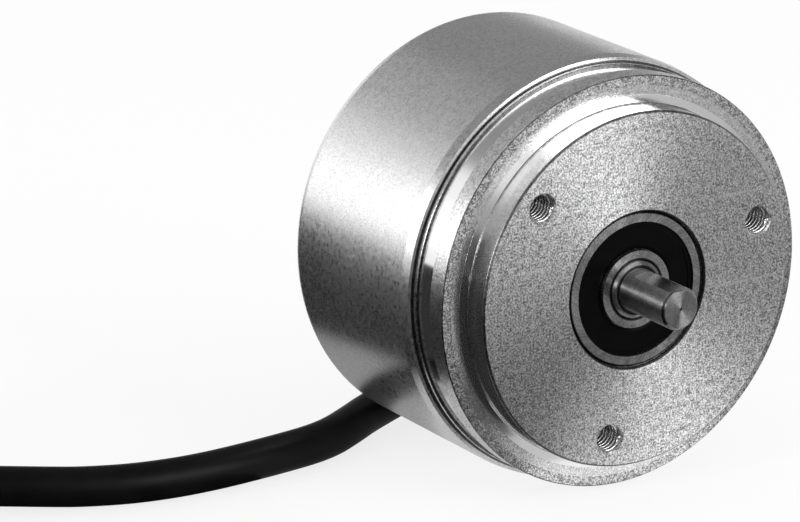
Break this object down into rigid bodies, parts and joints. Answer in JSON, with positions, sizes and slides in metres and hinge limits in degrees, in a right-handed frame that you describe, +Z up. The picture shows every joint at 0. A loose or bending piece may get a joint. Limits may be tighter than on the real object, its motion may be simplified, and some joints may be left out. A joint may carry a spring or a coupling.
{
  "type": "incremental rotary encoder",
  "caption": "Round rotary encoder with a stepped servo flange, a sealed ball bearing round a short shaft with a flat, a drawn cover and a cable led out at the rear.",
  "frame": {"origin": "centre of the pilot's front face, on the shaft's axis, which is the centre of the circle of face holes", "axes": "-Y along the shaft, out of the flange; +Y into the body; +Z up, away from the side that the body lies on; +X to the right as seen from the shaft end"},
  "size_m": [0.1858, 0.0786, 0.06],
  "materials": {
    "anodised_aluminium": "satin, fine turning marks",
    "cover_aluminium": "satin, fine grain",
    "bearing_steel": "ground",
    "shaft_steel": "ground stainless steel",
    "spring_steel": "rolled",
    "cage_polymer": "moulded",
    "seal_rubber": "matte",
    "screw_steel": "plated",
    "hub_aluminium": "turned",
    "disc_metal": "etched",
    "pillar_brass": "turned",
    "holder_plastic": "moulded",
    "led_lens": "clear",
    "lead_wire": "tinned",
    "reticle_glass": "polished",
    "chip_ceramic": "moulded",
    "board_laminate": "solder mask",
    "capacitor_can": "drawn can",
    "outlet_plastic": "moulded",
    "core_insulation": "extruded",
    "cable_jacket": "satin jacket",
    "tie_plastic": "moulded"
  },
  "bodies": {
    "housing": {"flange": "anodised_aluminium", "cover": "cover_aluminium", "front_bearing_outer_ring": "bearing_steel", "rear_bearing_outer_ring": "bearing_steel", "preload_spring": "spring_steel", "front_bearing_front_seal": "seal_rubber", "front_bearing_rear_seal": "seal_rubber", "rear_bearing_front_seal": "seal_rubber", "rear_bearing_rear_seal": "seal_rubber", "cover_seal": "seal_rubber", "outlet_seal_ring": "seal_rubber", "cover_screws": "screw_steel", "led_holder_screws": "screw_steel", "front_pillars": "pillar_brass", "middle_pillars": "pillar_brass", "rear_pillars": "pillar_brass", "led_holder": "holder_plastic", "reticle_frame": "holder_plastic", "line_driver": "holder_plastic", "board_header": "holder_plastic", "cable_connector": "holder_plastic", "led": "led_lens", "led_leads": "lead_wire", "cable_leads": "lead_wire", "reticle": "reticle_glass", "sensor_chip": "chip_ceramic", "sensor_board": "board_laminate", "main_board": "board_laminate", "capacitor": "capacitor_can", "cable_outlet": "outlet_plastic", "outlet_nut": "outlet_plastic", "cable_cores": "core_insulation", "cable": "cable_jacket", "cable_coil": "cable_jacket", "coil_tie": "tie_plastic"},
    "rotor": {"shaft": "shaft_steel", "front_bearing_inner_ring": "bearing_steel", "rear_bearing_inner_ring": "bearing_steel", "bearing_spacer": "shaft_steel", "disc_hub": "hub_aluminium", "hub_set_screw": "screw_steel", "code_disc": "disc_metal", "disc_clamp_ring": "hub_aluminium"},
    "front_cage": {"front_bearing_balls": "bearing_steel", "front_bearing_cage": "cage_polymer"},
    "rear_cage": {"rear_bearing_balls": "bearing_steel", "rear_bearing_cage": "cage_polymer"}
  },
  "joints": [
    {"name": "shaft_spin", "type": "hinge", "parent": "housing", "child": "rotor", "pos_m": [0, 0, 0], "axis": [0, -1, 0], "continuous": true},
    {"name": "front_cage_spin", "type": "hinge", "parent": "housing", "child": "front_cage", "pos_m": [0, 0.0039, 0], "axis": [0, -1, 0], "continuous": true},
    {"name": "rear_cage_spin", "type": "hinge", "parent": "housing", "child": "rear_cage", "pos_m": [0, 0.0143, 0], "axis": [0, -1, 0], "continuous": true}
  ],
  "couplings": [
    {"joint": "front_cage_spin", "follows": "shaft_spin", "ratio": 0.36767},
    {"joint": "rear_cage_spin", "follows": "shaft_spin", "ratio": 0.36767}
  ]
}
